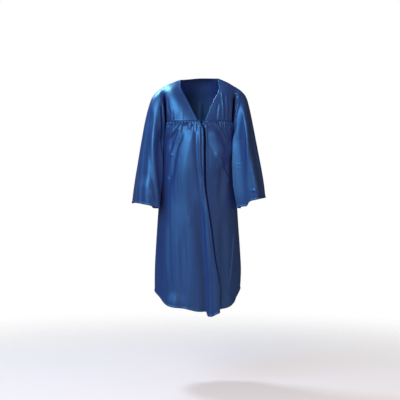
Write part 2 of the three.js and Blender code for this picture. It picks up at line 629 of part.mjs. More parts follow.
function sleeve({ side, rings, frontFold, folds, lobes }) {
  const armholeOffset = CLOTH_WALL / 2 + 2 * SEAM_GAP;
  const pointAt = (t, turn) => {
    const at = (name) => column(rings, 't', name, t);
    const power = 2 / lerp(2, SLEEVE_SQUARE, smooth(0, 0.3, t));
    const degrees = turn * 360;
    const across = signedPower(Math.cos(turn * 2 * Math.PI), power);
    const forward = signedPower(Math.sin(turn * 2 * Math.PI), power);
    let reach = 1;
    for (const fold of folds) {
      const run = (t - fold.from) / (fold.to - fold.from);
      const middle = fold.degrees + fold.drift * smooth(FOLD_DRIFT_FROM, 1, t);
      const ends = smooth(0, 0.25, run) * (fold.to > 1 ? 1 : 1 - smooth(0.6, 1, run));
      reach += (fold.depth * ends * ridge(roundDistance(degrees, middle), fold.halfWidth)) / at('depth');
    }
    const reachX = (at('outX') - at('inX')) / 2;
    const halfX = Math.sign(reachX) * Math.sqrt(Math.max(reachX * reachX - at('swing') ** 2, 0));
    const point = new THREE.Vector3(
      side * ((at('outX') + at('inX')) / 2 + reach * (halfX * across - at('swing') * forward)),
      -at('forward') - reach * at('depth') * forward,
      (at('outZ') + at('inZ')) / 2 + (reach * across * (at('outZ') - at('inZ'))) / 2,
    );
    point.x -= side * at('fold') * ridge(roundDistance(degrees, frontFold.degrees), frontFold.halfWidth);
    // Near the armhole the ring follows the armhole's curve in the body
    const facing = forward > 0 ? -1 : 1;
    const rimZ = ARMHOLE_MIDDLE_Z + ARMHOLE_HALF_HEIGHT * Math.cos(turn * 2 * Math.PI);
    const straightX = lerp(rings[0].inX, rings[0].outX, (rimZ - UNDERARM_Z) / (SHOULDER_TIP_Z - UNDERARM_Z));
    const rimX = side * armholePoint(side, facing, rimZ).x;
    point.x += side * (armholeOffset + (rimX - straightX) * (1 - smooth(0, ARMHOLE_FADE, t)));
    for (const lobe of lobes) {
      const near = ridge(roundDistance(degrees, lobe.degrees), lobe.halfWidth);
      const hang = lobe.drop * smooth(0, lobe.edge, near);
      point.z -= hang * smooth(CUFF_LOBE_FROM, 1, t);
    }
    return point;
  };
  const rows = Array.from({ length: SLEEVE_ROWS + 1 }, (_, r) =>
    Array.from({ length: SLEEVE_COLUMNS }, (_, c) => {
      const turn = c / SLEEVE_COLUMNS;
      return { place: turn, point: pointAt(r / SLEEVE_ROWS, turn), flat: r === 0 ? ['x'] : [] };
    }),
  );
  return clothWall(rows, true);
}

// Hook and eye

function wire(points, isClosed) {
  const path = new THREE.CatmullRomCurve3(points, isClosed);
  const section = new THREE.Shape().absarc(0, 0, WIRE_RADIUS, 0, 2 * Math.PI);
  const steps = points.length * 3;
  return new THREE.ExtrudeGeometry(section, { extrudePath: path, steps, curveSegments: WIRE_SIDES });
}

// The wire of the eye lies on the cloth at the point of the V
function closureY() {
  return -bodySection(CLOSURE_Z).front - CLOTH_WALL / 2 - SEAM_GAP - WIRE_RADIUS;
}

function eye() {
  const geometry = new THREE.TorusGeometry(EYE_RADIUS, WIRE_RADIUS, WIRE_SIDES, 16);
  geometry.rotateX(Math.PI / 2);
  geometry.translate(V_POINT_X + EYE_RADIUS, closureY(), CLOSURE_Z);
  return geometry;
}

// The hook starts on the right front, passes over the eye's wire and returns behind it
function hook() {
  const clear = WIRE_RADIUS * 2 + SEAM_GAP;
  const path = [
    { along: -13, out: -SEAM_GAP },
    { along: -8, out: -SEAM_GAP },
    { along: -4, out: -clear },
    { along: 1, out: -clear },
    { along: 2.2, out: 0 },
    { along: 1, out: clear },
    { along: -1.6, out: clear },
  ];
  const y = closureY();
  const points = path.map(({ along, out }) => new THREE.Vector3(V_POINT_X + along, y + out, CLOSURE_Z));
  return wire(points, false);
}

// The gown

const satin = () => new THREE.MeshStandardMaterial({ color: '#2b559f', roughness: 0.35, metalness: 0 });
const enamel = () => new THREE.MeshStandardMaterial({ color: '#20242c', roughness: 0.4, metalness: 0.6 });

const gown = new THREE.Group();
function addPiece(name, geometry, material) {
  const mesh = new THREE.Mesh(geometry, material);
  mesh.name = name;
  gown.add(mesh);
}

addPiece('yoke_front_right', yokeFront(RIGHT, V_EDGE_RIGHT), satin());
addPiece('yoke_front_left', yokeFront(LEFT, V_EDGE_LEFT), satin());
addPiece('yoke_back', yokeBack(), satin());
addPiece('front_right', overFront(), satin());
addPiece('front_left', underFront(), satin());
addPiece('back', backPanel(), satin());
const sleeveRight = sleeve({
  side: RIGHT,
  rings: SLEEVE_RIGHT_RINGS,
  frontFold: FRONT_FOLD_RIGHT,
  folds: SLEEVE_RIGHT_FOLDS,
  lobes: CUFF_RIGHT_LOBES,
});
const sleeveLeft = sleeve({
  side: LEFT,
  rings: SLEEVE_LEFT_RINGS,
  frontFold: FRONT_FOLD_LEFT,
  folds: SLEEVE_LEFT_FOLDS,
  lobes: CUFF_LEFT_LOBES,
});
addPiece('sleeve_right', sleeveRight, satin());
addPiece('sleeve_left', sleeveLeft, satin());
addPiece('hook', hook(), enamel());
addPiece('eye', eye(), enamel());

export default gown;
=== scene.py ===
import bmesh
import bpy
import numpy as np
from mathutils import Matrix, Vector


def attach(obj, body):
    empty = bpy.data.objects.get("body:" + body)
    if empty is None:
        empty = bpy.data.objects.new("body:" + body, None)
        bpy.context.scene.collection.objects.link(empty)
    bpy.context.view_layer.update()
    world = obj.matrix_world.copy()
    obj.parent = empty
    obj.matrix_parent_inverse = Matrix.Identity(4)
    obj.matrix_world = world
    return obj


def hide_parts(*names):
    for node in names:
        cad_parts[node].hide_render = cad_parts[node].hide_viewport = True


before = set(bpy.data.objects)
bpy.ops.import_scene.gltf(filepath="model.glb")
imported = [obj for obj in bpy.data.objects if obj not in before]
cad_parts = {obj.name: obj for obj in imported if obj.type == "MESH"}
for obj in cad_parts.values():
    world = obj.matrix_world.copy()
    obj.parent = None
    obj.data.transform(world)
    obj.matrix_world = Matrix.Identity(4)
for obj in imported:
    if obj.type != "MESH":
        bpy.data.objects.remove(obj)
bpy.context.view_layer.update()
mm = 0.001  # every table below is in millimetres
clothWall = 0.8  # thicker than the real 0.2, so that edges show
stitchLine = 7.0  # from each turned edge to its stitches
print("frame loaded")

# camera: level, far enough back that the gown hardly narrows with depth
shot = {"x": 1.85, "distance": 3500, "z": -449.5, "lens": 85.1, "sensor": 36}
camera = bpy.data.objects.new("camera", bpy.data.cameras.new("camera"))
bpy.context.scene.collection.objects.link(camera)
camera.location = (shot["x"] * mm, -shot["distance"] * mm, shot["z"] * mm)
camera.rotation_euler = (np.pi / 2, 0, 0)
camera.data.lens = shot["lens"]
camera.data.sensor_width = shot["sensor"]
bpy.context.scene.camera = camera
print("camera set")


# colours and nodes
def linear(hexColour):  # sRGB hex to linear
    parts = np.array([int(hexColour[i:i + 2], 16) for i in (1, 3, 5)]) / 255
    lit = np.where(parts <= 0.04045, parts / 12.92, ((parts + 0.055) / 1.055) ** 2.4)
    return (*lit.tolist(), 1.0)


def addNode(tree, kind, settings=None, values=None, links=None):  # a node with its settings, values and links
    node = tree.nodes.new(kind)
    for name, value in (settings or {}).items():
        setattr(node, name, value)
    for name, value in (values or {}).items():
        node.inputs[name].default_value = value
    for name, source in (links or {}).items():
        tree.links.new(source, node.inputs[name])
    return node


# polyester satin, woven with long floats: broad soft lights along the folds, deep blue between them
satinLook = {
    "deep": "#263f8c", "full": "#2d489a", "thread": "#3a66a8", "gloss": "#70c2f0", "bloom": "#b9b6a8",
    "ior": 2.3,  # above polyester's 1.6, because many bright floats throw back more than one smooth face
    "roughness": 0.42, "smoother": 0.05, "rougher": 0.07,
    "drawnGloss": 0.35, "drawnAcross": 0.25,  # how far the glint is drawn out, and its turn from the warp
    "floatWidth": 0.9, "waveRepeat": 0.314,  # a wave texture of scale 1 repeats after this length
    "slubWidth": 3.0, "slubStretch": 30, "shadeSize": 90.0,
    "stitchLength": 2.6, "stitchShare": 0.7, "stitchWidth": 0.9,
    "weaveHeight": 0.1, "stitchHeight": 0.3,
}


def makeSatin(look):
    satin = bpy.data.materials.new("polyesterSatin")
    satin.use_nodes = True
    tree = satin.node_tree
    tree.nodes.clear()
    cut = addNode(tree, "ShaderNodeUVMap", {"uv_map": "cut"}).outputs["UV"]
    place = addNode(tree, "ShaderNodeTexCoord").outputs["Object"]
    # slow change of shade, as the pile of floats is pressed one way or the other
    shade = addNode(tree, "ShaderNodeTexNoise", {}, {
        "Scale": 1 / (look["shadeSize"] * mm), "Detail": 2.0, "Roughness": 0.5}, {"Vector": place})
    blue = addNode(tree, "ShaderNodeMix", {"data_type": "RGBA"}, {
        6: linear(look["deep"]), 7: linear(look["full"])}, {0: shade.outputs["Fac"]})
    # slubs: long faint streaks down the warp
    along = addNode(tree, "ShaderNodeMapping", {}, {
        "Scale": (1 / (look["slubWidth"] * mm), 1 / (look["slubStretch"] * look["slubWidth"] * mm), 1)},
        {"Vector": cut})
    slub = addNode(tree, "ShaderNodeTexNoise", {"noise_dimensions": "2D"}, {
        "Scale": 1.0, "Detail": 3.0}, {"Vector": along.outputs["Vector"]})
    rough = addNode(tree, "ShaderNodeMapRange", {}, {
        "To Min": look["roughness"] - look["smoother"], "To Max": look["roughness"] + look["rougher"]},
        {"Value": slub.outputs["Fac"]})
    # warp floats, drawn about six times as wide as the real 0.15 mm so that they show close up
    floats = addNode(tree, "ShaderNodeTexWave", {"bands_direction": "X"}, {
        "Scale": look["waveRepeat"] / (look["floatWidth"] * mm), "Distortion": 0.6, "Detail": 1.0},
        {"Vector": cut})
    # a row of stitches beside each turned edge, drawn wider than real thread so that they show close up
    fromEdge = addNode(tree, "ShaderNodeAttribute", {"attribute_name": "fromEdge"}).outputs["Fac"]
    alongEdge = addNode(tree, "ShaderNodeAttribute", {"attribute_name": "alongEdge"}).outputs["Fac"]
    near = addNode(tree, "ShaderNodeMath", {"operation": "COMPARE"}, {
        1: stitchLine, 2: look["stitchWidth"] / 2}, {0: fromEdge})
    step = addNode(tree, "ShaderNodeMath", {"operation": "WRAP"}, {
        1: look["stitchLength"], 2: 0.0}, {0: alongEdge})
    dash = addNode(tree, "ShaderNodeMath", {"operation": "LESS_THAN"}, {
        1: look["stitchShare"] * look["stitchLength"]}, {0: step.outputs[0]})
    stitch = addNode(tree, "ShaderNodeMath", {"operation": "MULTIPLY"}, {}, {
        0: near.outputs[0], 1: dash.outputs[0]})
    stitched = addNode(tree, "ShaderNodeMix", {"data_type": "RGBA"}, {7: linear(look["thread"])}, {
        0: stitch.outputs[0], 6: blue.outputs[2]})
    weave = addNode(tree, "ShaderNodeBump", {}, {"Strength": 0.12, "Distance": look["weaveHeight"] * mm}, {
        "Height": floats.outputs["Fac"]})
    relief = addNode(tree, "ShaderNodeBump", {}, {"Strength": 0.6, "Distance": look["stitchHeight"] * mm}, {
        "Height": stitch.outputs[0], "Normal": weave.outputs["Normal"]})
    warp = addNode(tree, "ShaderNodeTangent", {"direction_type": "UV_MAP", "uv_map": "cut"})
    cloth = addNode(tree, "ShaderNodeBsdfPrincipled", {}, {
        "IOR": look["ior"], "Specular IOR Level": 1.0, "Specular Tint": linear(look["gloss"]),
        "Anisotropic": look["drawnGloss"], "Anisotropic Rotation": look["drawnAcross"],
        "Sheen Weight": 0.05, "Sheen Roughness": 0.5, "Sheen Tint": linear(look["bloom"])}, {
        "Base Color": stitched.outputs[2], "Roughness": rough.outputs[0],
        "Normal": relief.outputs["Normal"], "Tangent": warp.outputs["Tangent"]})
    addNode(tree, "ShaderNodeOutputMaterial", {}, {}, {"Surface": cloth.outputs["BSDF"]})
    return satin


# black enamelled brass wire: dark and glossy, brassy where the enamel is thin
enamelLook = {"dark": "#15181f", "worn": "#4a3c24", "metallic": 0.55, "roughness": 0.32,
              "wearSize": 1.6, "wearFrom": 0.55, "wearFull": 0.75, "skinHeight": 0.05}


def makeEnamel(look):
    enamel = bpy.data.materials.new("enamelledWire")
    enamel.use_nodes = True
    tree = enamel.node_tree
    tree.nodes.clear()
    place = addNode(tree, "ShaderNodeTexCoord").outputs["Object"]
    wear = addNode(tree, "ShaderNodeTexNoise", {}, {
        "Scale": 1 / (look["wearSize"] * mm), "Detail": 3.0}, {"Vector": place})
    thin = addNode(tree, "ShaderNodeMapRange", {}, {
        "From Min": look["wearFrom"], "From Max": look["wearFull"]}, {"Value": wear.outputs["Fac"]})
    colour = addNode(tree, "ShaderNodeMix", {"data_type": "RGBA"}, {
        6: linear(look["dark"]), 7: linear(look["worn"])}, {0: thin.outputs[0]})
    skin = addNode(tree, "ShaderNodeBump", {}, {"Strength": 0.2, "Distance": look["skinHeight"] * mm}, {
        "Height": wear.outputs["Fac"]})
    wire = addNode(tree, "ShaderNodeBsdfPrincipled", {}, {
        "Metallic": look["metallic"], "Roughness": look["roughness"]}, {
        "Base Color": colour.outputs[2], "Normal": skin.outputs["Normal"]})
    addNode(tree, "ShaderNodeOutputMaterial", {}, {}, {"Surface": wire.outputs["BSDF"]})
    return enamel


satin = makeSatin(satinLook)
enamel = makeEnamel(enamelLook)
print("materials made")


# curves
def ease(start, end, value):
    share = np.clip((value - start) / (end - start), 0, 1)
    return share * share * (3 - 2 * share)


def mixed(a, b, share):
    return a + (b - a) * share


def powered(value, power):
    return np.sign(value) * np.abs(value) ** power


def through(table, column, place):  # smooth curve through one column of a table, read along the first column
    table = np.asarray(table, float)
    if table[0, 0] > table[-1, 0]:
        table = table[::-1]
    keys, values = table[:, 0], table[:, column]
    last = len(keys) - 1
    low = np.maximum(np.arange(last + 1) - 1, 0)
    high = np.minimum(np.arange(last + 1) + 1, last)
    slope = (values[high] - values[low]) / (keys[high] - keys[low])
    i = np.clip(np.searchsorted(keys, place), 1, last)
    span = keys[i] - keys[i - 1]
    s = np.clip((place - keys[i - 1]) / span, 0, 1)
    return ((2 * s**3 - 3 * s**2 + 1) * values[i - 1] + (s**3 - 2 * s**2 + s) * span * slope[i - 1]
            + (3 * s**2 - 2 * s**3) * values[i] + (s**3 - s**2) * span * slope[i])


def smoothPath(points, count):  # a curve through a few points, as evenly spaced points
    points = np.asarray(points, float)
    steps = np.linalg.norm(np.diff(points, axis=0), axis=1)
    table = np.column_stack([np.concatenate([[0], np.cumsum(steps)]), points])
    fine = np.linspace(0, table[-1, 0], 200)
    dense = np.column_stack([through(table, k + 1, fine) for k in range(points.shape[1])])
    run = np.concatenate([[0], np.cumsum(np.linalg.norm(np.diff(dense, axis=0), axis=1))])
    even = np.linspace(0, run[-1], count)
    return np.column_stack([np.interp(even, run, dense[:, k]) for k in range(points.shape[1])])


# folds: each is a path of x and z over the cloth, its reach to the left and right of a path that runs down
# (below and above one that runs to the right), its height, the shares of its length over which it starts
# and ends, and 1 where its sides are flat
foldShape = {"steps": 20, "flatTop": 1.17, "crestRound": 0.03, "footRound": 0.02}


def foldLift(x, z, folds, held=0.0, roundness=1.0):
    lift = np.zeros_like(x)
    for path, reach, height, fade, *flat in folds:
        line = smoothPath(path, foldShape["steps"])
        near = np.full(x.shape, 1e9)
        beside = np.zeros_like(x)
        share = np.zeros_like(x)
        for k in range(len(line) - 1):
            a, d = line[k], line[k + 1] - line[k]
            s = np.clip(((x - a[0]) * d[0] + (z - a[1]) * d[1]) / (d @ d), 0, 1)
            ox, oz = x - a[0] - s * d[0], z - a[1] - s * d[1]
            away = np.hypot(ox, oz)
            closer = away < near
            near = np.where(closer, away, near)
            beside = np.where(closer, d[0] * oz - d[1] * ox, beside)
            share = np.where(closer, (k + s) / (len(line) - 1), share)
        q = near / np.where(beside > 0, reach[1], reach[0])
        if flat:  # two slopes with a soft crest and a soft foot
            slope = foldShape["flatTop"] - np.sqrt(q * q + foldShape["crestRound"])
            crest = 0.5 * (slope + np.sqrt(slope * slope + foldShape["footRound"]))
        else:
            crest = (0.5 + 0.5 * np.cos(np.pi * np.minimum(q, 1))) ** roundness
        start = mixed(held, 1, ease(0, fade[0], share)) if fade[0] > 0 else 1
        end = 1 - ease(1 - fade[1], 1, share) if fade[1] > 0 else 1
        lift = lift + height * crest * start * end
    return lift


gatherShape = {"fade": (0.12, 0.6), "held": 0.6, "roundness": 0.75, "rise": (-0.5, 3.5)}


def gatherLift(x, z, top, gathers):  # rows of x at the seam, sideways drift, length, height and half width
    folds = [([(at, top), (at + drift, top - length)], (wide, wide), height, gatherShape["fade"])
             for at, drift, length, height, wide in gathers]
    lift = foldLift(x, z, folds, gatherShape["held"], gatherShape["roundness"])
    return lift * ease(*gatherShape["rise"], top - z)  # flat behind the seam


# low, slow waves of all hanging cloth
def ripple(x, z, wide, tall, height, seed, waves=7, spread=(0.6, 1.6)):
    draw = np.random.default_rng(seed)
    total = np.zeros_like(x)
    for _ in range(waves):
        across = 2 * np.pi / (wide * draw.uniform(*spread))
        down = 2 * np.pi / (tall * draw.uniform(*spread))
        total += np.sin(across * x + draw.choice([-1, 1]) * down * z + draw.uniform(0, 2 * np.pi))
    return height * total / waves


def ripples(x, z, rows):  # rows of width, length, height and seed
    return sum(ripple(x, z, *row) for row in rows)


# cloth grids: rows run down the piece, columns across it
def gridOf(piece):
    return np.meshgrid(np.linspace(0, 1, piece["columns"] + 1), np.linspace(0, 1, piece["rows"] + 1))


def outwardOf(points, facing=None, ring=False):
    wide = np.concatenate([points[:, -2:-1], points, points[:, 1:2]], axis=1) if ring else points
    across = np.gradient(wide, axis=1)
    across = across[:, 1:-1] if ring else across
    normal = np.cross(across, np.gradient(points, axis=0))
    normal /= np.maximum(np.linalg.norm(normal, axis=2, keepdims=True), 1e-9)
    if facing is not None and (normal[:, :, 1] * facing).mean() < 0:
        normal = -normal
    return normal


def runLength(points, axis):  # distance along the rows or columns, from the start
    steps = np.linalg.norm(np.diff(points, axis=axis), axis=2)
    start = np.zeros_like(np.take(steps, [0], axis=axis))
    return np.concatenate([start, np.cumsum(steps, axis=axis)], axis=axis)


# a narrow turned hem: a full soft roll, a pulled stitch line, small puckers of uneven length
hemLook = {"roll": 1.5, "rollPower": 0.8, "pull": -0.4, "pullWidth": 1.6,
           "pucker": 0.3, "puckerLength": 10.5, "puckerDrift": 17, "puckerReach": 9}


def hemShape(fromEdge, alongEdge):
    roll = hemLook["roll"] * np.sin(np.pi * np.clip(fromEdge / stitchLine, 0, 1)) ** hemLook["rollPower"]
    pull = hemLook["pull"] * np.exp(-(((fromEdge - stitchLine) / hemLook["pullWidth"]) ** 2))
    turn = 2 * np.pi * alongEdge / hemLook["puckerLength"] + np.sin(alongEdge / hemLook["puckerDrift"])
    pucker = hemLook["pucker"] * np.sin(turn) * np.exp(-fromEdge / hemLook["puckerReach"])
    return roll + pull + pucker


def sewPiece(name, node, points, outward, fromEdge, alongEdge, sheet, ring=False):
    rows, columns = points.shape[0] - 1, points.shape[1] - 1
    cutU, cutV = runLength(points, 1), runLength(points, 0)
    cutU = cutU - cutU[:, columns // 2:columns // 2 + 1]
    bm = bmesh.new()
    bmesh.ops.create_grid(bm, x_segments=columns, y_segments=rows, size=0.5)
    uv = bm.loops.layers.uv.new("cut")
    edgeLayer = bm.verts.layers.float.new("fromEdge")
    alongLayer = bm.verts.layers.float.new("alongEdge")
    flatUv = {}
    for vert in bm.verts:
        c, r = round((vert.co.x + 0.5) * columns), round((0.5 - vert.co.y) * rows)
        vert.co = points[r, c] * mm
        vert[edgeLayer], vert[alongLayer] = fromEdge[r, c], alongEdge[r, c]
        flatUv[vert] = (cutU[r, c] * mm, -cutV[r, c] * mm)
    for face in bm.faces:
        face.smooth = True
        for loop in face.loops:
            loop[uv].uv = flatUv[loop.vert]
    bm.normal_update()
    bm.faces.ensure_lookup_table()
    middle = bm.faces[(rows // 2) * columns + columns // 2]
    out = outward[rows // 2, columns // 2].tolist()
    if sum(vert.normal.dot(out) for vert in middle.verts) < 0:
        bmesh.ops.reverse_faces(bm, faces=bm.faces)
    if ring:  # close the tube along its seam
        bmesh.ops.remove_doubles(bm, verts=bm.verts, dist=1e-6)
    mesh = bpy.data.meshes.new(name)
    bm.to_mesh(mesh)
    bm.free()
    piece = bpy.data.objects.new(name, mesh)
    bpy.context.scene.collection.objects.link(piece)
    mesh.materials.append(satin)
    wall = piece.modifiers.new("cloth", "SOLIDIFY")
    wall.thickness = clothWall * mm
    wall.offset = 0
    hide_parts(node)
    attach(piece, "root")
    across, down = np.diff(points, axis=1)[:-1], np.diff(points, axis=0)[:, :-1]
    area = np.linalg.norm(np.cross(across, down), axis=2).sum()
    print(f"{name} sewn, {area * mm * mm:.3f} square metres, widest {np.ptp(cutU, axis=1).max():.0f} mm,"
          f" longest {cutV.max():.0f} mm")


# body: level sections, the armholes and the seam under the yokes
bodySections = [  # height, half width, reach to the front, to the back, sideways shift, squareness
    (-165, 134, 106, 100, 0, 2.5), (-228, 133, 112, 106, -1, 2.4), (-350, 138, 118, 113, -3, 2.25),
    (-480, 145.5, 122, 119, -6, 2.15), (-634, 155.5, 126, 125, -6, 2.1), (-708, 159, 128, 128, -6, 2.05),
    (-790, 157, 129, 130, -8, 2), (-880, 150, 128, 128, -8, 2)]
seam = {"yokeZ": -165, "underarmZ": -228, "tipX": 131, "tipZ": -31, "armholeDepth": 60, "gap": 0.3,
        "neckX": 68, "neckRightZ": -5, "neckLeftZ": 0, "shoulderBow": 3, "armholeCurve": 1.5}


def bodyReach(facing, z):
    return through(bodySections, 2 if facing < 0 else 3, z)


def onBody(side, facing, z, angle):  # side is -1 at the right as worn, facing is -1 at the front
    halfWidth, shift, square = (through(bodySections, k, z) for k in (1, 4, 5))
    power = 2 / square
    x = shift + side * halfWidth * powered(np.cos(angle), power)
    return np.stack([x, facing * bodyReach(facing, z) * powered(np.sin(angle), power), z + 0 * x], axis=-1)


def angleAtX(side, z, x):
    halfWidth, shift, square = (through(bodySections, k, z) for k in (1, 4, 5))
    return np.arccos(powered(np.clip(side * (x - shift) / halfWidth, -1, 1), square / 2))


def armholeDepth(z):
    middle, half = (seam["tipZ"] + seam["underarmZ"]) / 2, (seam["tipZ"] - seam["underarmZ"]) / 2
    return seam["armholeDepth"] * np.sqrt(np.maximum(0, 1 - ((z - middle) / half) ** 2))


def sideAngle(facing, z):  # where a panel starts: the armhole above the underarm, the side seam below
    fromSeam = np.where(z > seam["underarmZ"], armholeDepth(z), 0)
    share = np.maximum(fromSeam, seam["gap"] / 2) / bodyReach(facing, z)
    return np.arcsin(share ** (through(bodySections, 5, z) / 2))


def onArmhole(side, facing, z):
    z = np.asarray(z, float)
    low = np.minimum(z, seam["yokeZ"])
    below = onBody(side, facing, low, sideAngle(facing, low))
    rise = np.clip((z - seam["yokeZ"]) / (seam["tipZ"] - seam["yokeZ"]), 0, 1)
    above = np.stack([mixed(below[..., 0], side * seam["tipX"], rise ** seam["armholeCurve"]),
                      facing * np.maximum(armholeDepth(z), seam["gap"] / 2), z], axis=-1)
    return np.where((z > seam["yokeZ"])[..., None], above, below)


# the armhole seam lies in a groove, which fades out over the shoulder and under the arm
armholeTuck = {"depth": 58.0, "run": 10.0, "fromZ": -52.0, "fullZ": -105.0, "underarm": (-8, 26)}


def drawnIn(points, distance):
    share = np.clip(points[:, :, 1] / seam["armholeDepth"], -1, 1)
    z = points[:, :, 2]
    low, high = (seam["underarmZ"] + step for step in armholeTuck["underarm"])
    held = ease(low, high, z) * ease(-armholeTuck["fromZ"], -armholeTuck["fullZ"], -z)
    points[:, :, 1] -= armholeTuck["depth"] * share * held * (1 - ease(0, armholeTuck["run"], distance))
    return points


# the gathered edge goes up behind the yoke
seamTuck = {"height": 4.0, "inward": 1.3, "frontLean": 0.55, "backLean": 0.15, "run": 6.0}
panelRows = {"level": 0.3, "crowding": 1.3}  # share of level rows above the underarm, crowding at the hem


def panelHeights(v, hemZ, held=1):
    top, arm = seam["yokeZ"] + seamTuck["height"] * held, seam["underarmZ"]
    level = panelRows["level"]
    toHem = 1 - np.clip((1 - v) / (1 - level), 0, 1) ** panelRows["crowding"]
    return np.where(v <= level, mixed(top, arm, v / level), mixed(arm, hemZ, toHem))


def tuckedIn(z, lean):
    above = np.maximum(z - seam["yokeZ"], 0)
    return -seamTuck["inward"] * (1 - ease(0, seamTuck["run"], seam["yokeZ"] - z)) - lean * above


# fronts: height and x of the free edges, of the one that lies over and of the one under it
overEdge = [(-165, 3.5), (-176, 5), (-196, 14), (-300, 16), (-400, 18), (-450, 25), (-557, 41), (-671, 55),
            (-771, 71), (-870, 69)]
underEdge = [(-165, 11), (-174, 10.5), (-205, -12), (-400, -10), (-560, 5), (-760, 28), (-880, 28)]
overlap = [(-167, 0, 0), (-185, 14, 1.5), (-210, 60, 2.5), (-330, 60, 2.5), (-410, 26, 3), (-480, 13, 4),
           (-880, 13, 6)]  # height, tuck of the left front behind the right, lift of the right
frontShape = {"sideFade": 0.07, "seamTuckEnds": (0.89, 0.93),
              "ripples": [(70, 260, 1.1, 4), (24, 70, 0.12, 9), (13, 240, 0.09, 5)]}

rightFront = {
    "name": "frontRight", "node": "front_right", "side": -1, "columns": 150, "rows": 260,
    "edge": overEdge,
    "hem": [  # degrees round the body from the side seam, height
        (0, -784), (20, -794), (33, -808), (49, -830), (74, -839), (90, -848), (125, -850)],
    "liftRun": 30,
    "flapDip": 17, "flapStepX": 32, "flapStepRun": 6, "cornerRise": 0.75, "flapZ": (-690, -849),
    "gathers": [
        (-116, -6, 42, 3.1, 3.8), (-107, -12, 57, 4.0, 4.2), (-97, -13, 50, 3.7, 4.0),
        (-87, -12, 60, 4.1, 4.4), (-79, -10, 37, 2.9, 3.4), (-60, -6, 52, 3.3, 4.0),
        (-49, -4, 22, 1.9, 3.4), (-40, -5, 32, 1.6, 4.0), (-30, -4, 45, 2.1, 4.2),
        (-21, -3, 37, 1.5, 4.0), (-12, -2, 55, 1.6, 4.4), (-4, 0, 30, 1.0, 3.6)],
    "folds": [
        # drag to the armhole and the hollow under it
        ([(-69, -167), (-81, -189), (-97, -211), (-121, -233)], (9, 6), 4.5, (0.04, 0.25)),
        ([(-76, -192), (-98, -232), (-108, -290)], (13, 14), -5.0, (0.25, 0.4)),
        # pinched hollows below the seam
        ([(-60, -178), (-48, -177), (-38, -173)], (8, 8), -6.5, (0.25, 0.25)),
        ([(-110, -168), (-113, -184)], (4, 4), -5.0, (0.1, 0.4)),
        ([(-98, -176), (-102, -186)], (4, 4), -5.0, (0.3, 0.4)),
        ([(-90, -167), (-92, -178)], (3.5, 3.5), -4.5, (0.1, 0.4)),
        ([(-80, -172), (-84, -184)], (5, 5), -5.5, (0.2, 0.4)),
        ([(-24, -176), (-25, -188)], (4, 4), -3.6, (0.3, 0.4)),
        ([(-30, -180), (-28, -187)], (4, 4), -3.0, (0.3, 0.3)),
        ([(-36, -190), (-33, -198)], (4, 4), -2.6, (0.3, 0.3)),
        # broad ridge from the gathers to the side, with a hollow on each side of it
        ([(-26, -168), (-21, -195), (-26, -235), (-40, -288), (-52, -349), (-66, -414), (-84, -470)],
         (40, 100), 10.0, (0.25, 0.5), 1),
        ([(-57, -196), (-66, -226), (-80, -255), (-88, -300), (-97, -360), (-114, -425)],
         (17, 13), -3.5, (0.2, 0.4)),
        ([(-13, -184), (-9, -300), (1, -400), (10, -480)], (14, 8), -3.6, (0.15, 0.6)),
        # rolled edge, and the long hollow beside it
        ([(1, -176), (2, -324), (13, -385), (23, -418), (27, -480)], (5, 7), 4.5, (0.06, 0.3)),
        ([(20, -430), (31, -539), (39, -629), (52, -694), (60, -755), (63, -850)], (13, 14), 4.0, (0.15, 0)),
        ([(4, -430), (12, -557), (19, -650), (26, -736), (29, -870)], (32, 11), -12.0, (0.2, 0)),
        # slow folds of the skirt, and the hem that kicks out
        ([(-124, -500), (-125, -640), (-122, -760)], (20, 22), 3.0, (0.3, 0.3)),
        ([(-60, -520), (-58, -700), (-62, -870)], (26, 24), -4.0, (0.3, 0)),
        ([(-142, -790), (-112, -822), (-80, -834), (-30, -842)], (22, 60), 9.0, (0.3, 0.5)),
        # short creases
        ([(-116, -283), (-92, -290)], (5, 6), 1.7, (0.3, 0.4)),
        ([(-126, -362), (-106, -378)], (5, 6), 2.4, (0.3, 0.4)),
        ([(-36, -500), (-30, -545)], (12, 12), 1.0, (0.4, 0.4)),
    ],
    "sheet": {"flat": (0.35, 0.72), "held": "gathered", "area": 0.178},
}
